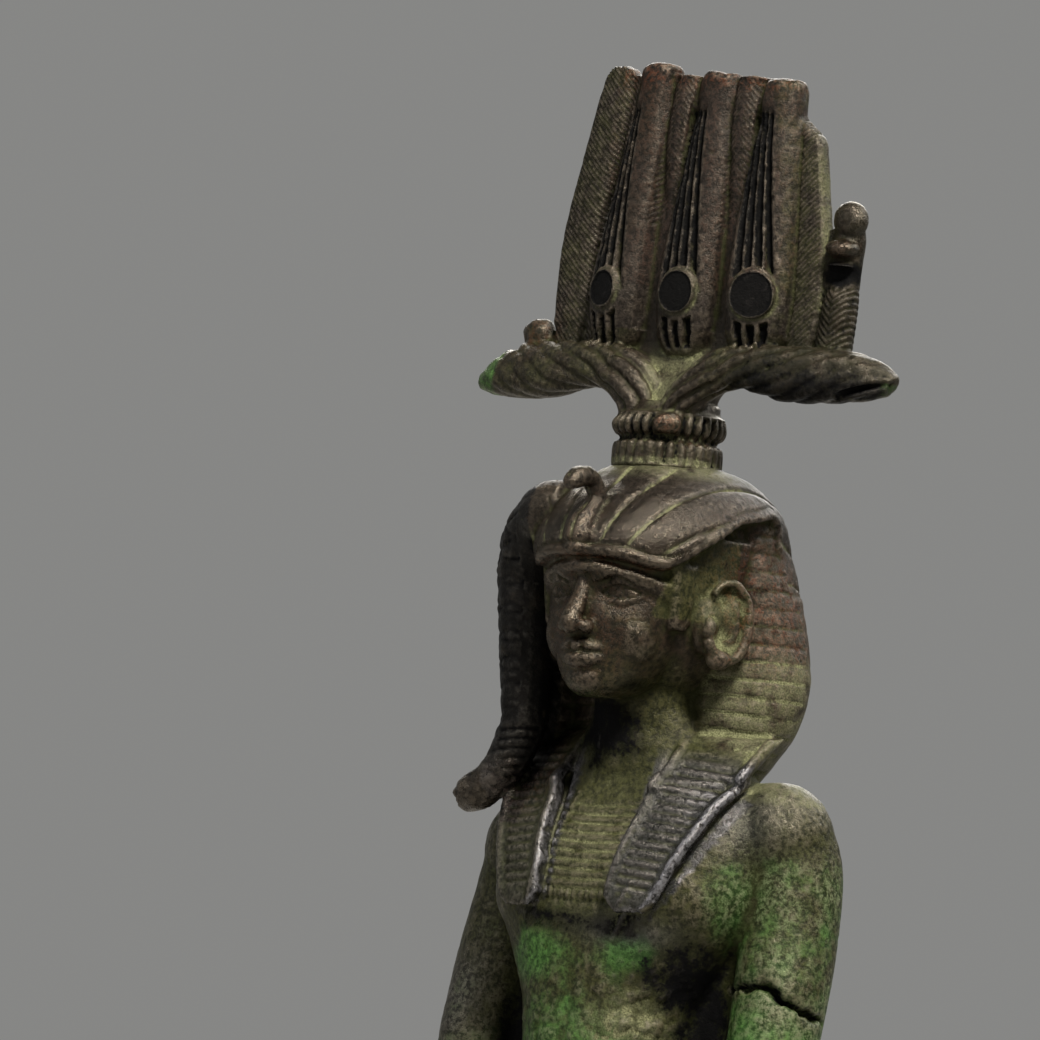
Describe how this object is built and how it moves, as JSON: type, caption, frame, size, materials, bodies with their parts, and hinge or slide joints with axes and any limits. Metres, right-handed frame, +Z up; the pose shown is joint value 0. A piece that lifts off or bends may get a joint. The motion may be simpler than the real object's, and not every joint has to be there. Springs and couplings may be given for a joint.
{
  "type": "harpocrates statuette",
  "caption": "Bronze statuette of a standing child god in a striped headcloth with a side lock and a tall crown on ram's horns, on a low plinth.",
  "frame": {"origin": "centre of the plinth's underside", "axes": "+Z up; the figure faces -Y; the figure's own left side is +X"},
  "size_m": [0.0746, 0.076, 0.3112],
  "materials": {
    "figure_bronze": "old cast bronze, dark brown and olive patina with green patches, worn shine on raised edges",
    "plinth_bronze": "old cast bronze, dull olive brown patina"
  },
  "bodies": {
    "root": {"figure": "figure_bronze", "plinth": "plinth_bronze"}
  },
  "joints": []
}
